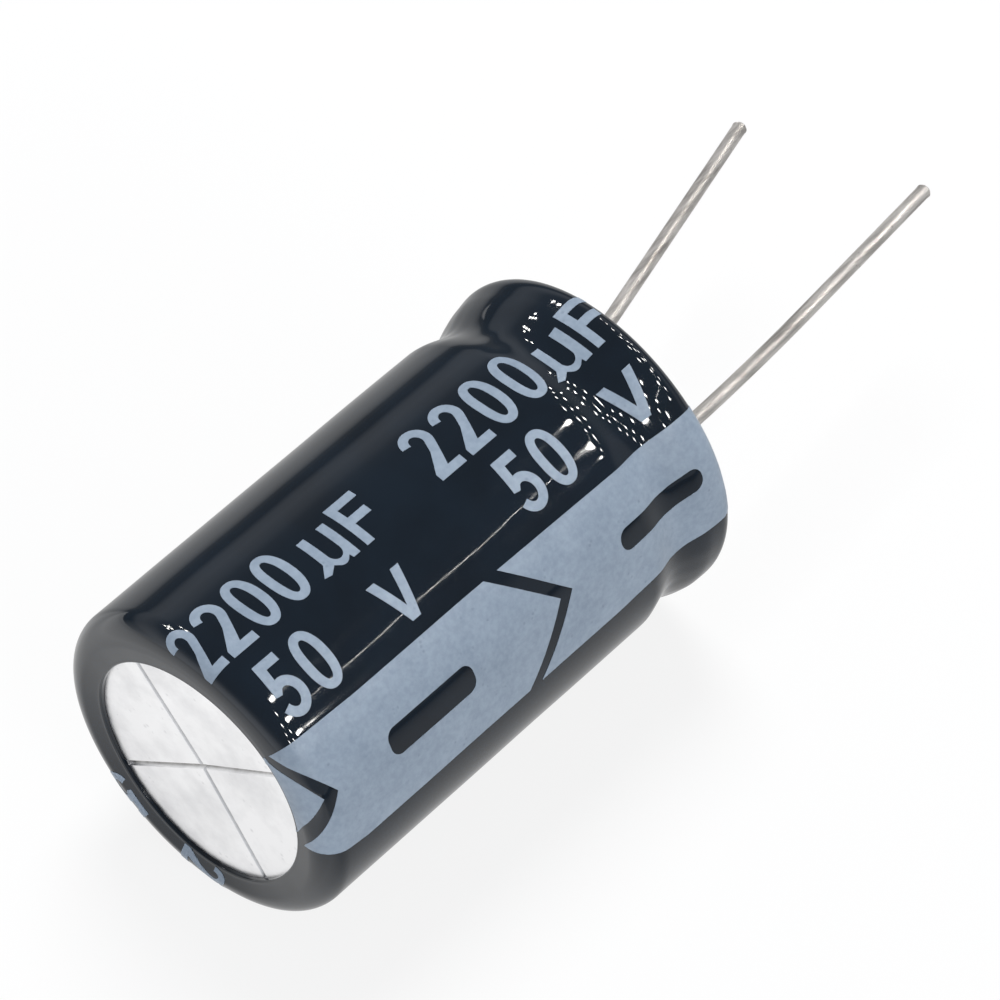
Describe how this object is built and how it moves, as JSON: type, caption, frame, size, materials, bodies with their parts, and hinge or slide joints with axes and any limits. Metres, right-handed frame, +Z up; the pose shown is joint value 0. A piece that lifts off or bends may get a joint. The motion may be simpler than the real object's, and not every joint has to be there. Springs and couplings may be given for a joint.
{
  "type": "electrolytic capacitor",
  "caption": "Radial aluminium electrolytic capacitor: round can in a dark plastic sleeve with a pale polarity stripe, a scored vent on top and wire leads below.",
  "frame": {"origin": "midway between the leads on the seating plane, which is the rubber seal's flat outer face", "axes": "+Z up along the can towards its top, with the leads pointing down, and +X towards the positive lead"},
  "size_m": [0.0186, 0.0186, 0.0537],
  "materials": {
    "sleeve_plastic": "gloss",
    "stripe_ink": "satin",
    "can_aluminium": "satin",
    "seal_rubber": "matte",
    "etched_foil": "matte",
    "separator_paper": "matte",
    "closing_tape": "satin",
    "tab_aluminium": "satin",
    "tinned_wire": "satin"
  },
  "bodies": {
    "root": {"sleeve": "sleeve_plastic", "polarity_stripe": "stripe_ink", "can": "can_aluminium", "end_seal": "seal_rubber", "anode_foil": "etched_foil", "cathode_foil": "etched_foil", "separator_inner": "separator_paper", "separator_outer": "separator_paper", "closing_tape": "closing_tape", "anode_tab": "tab_aluminium", "cathode_tab": "tab_aluminium", "positive_lead": "tinned_wire", "negative_lead": "tinned_wire"}
  },
  "joints": []
}
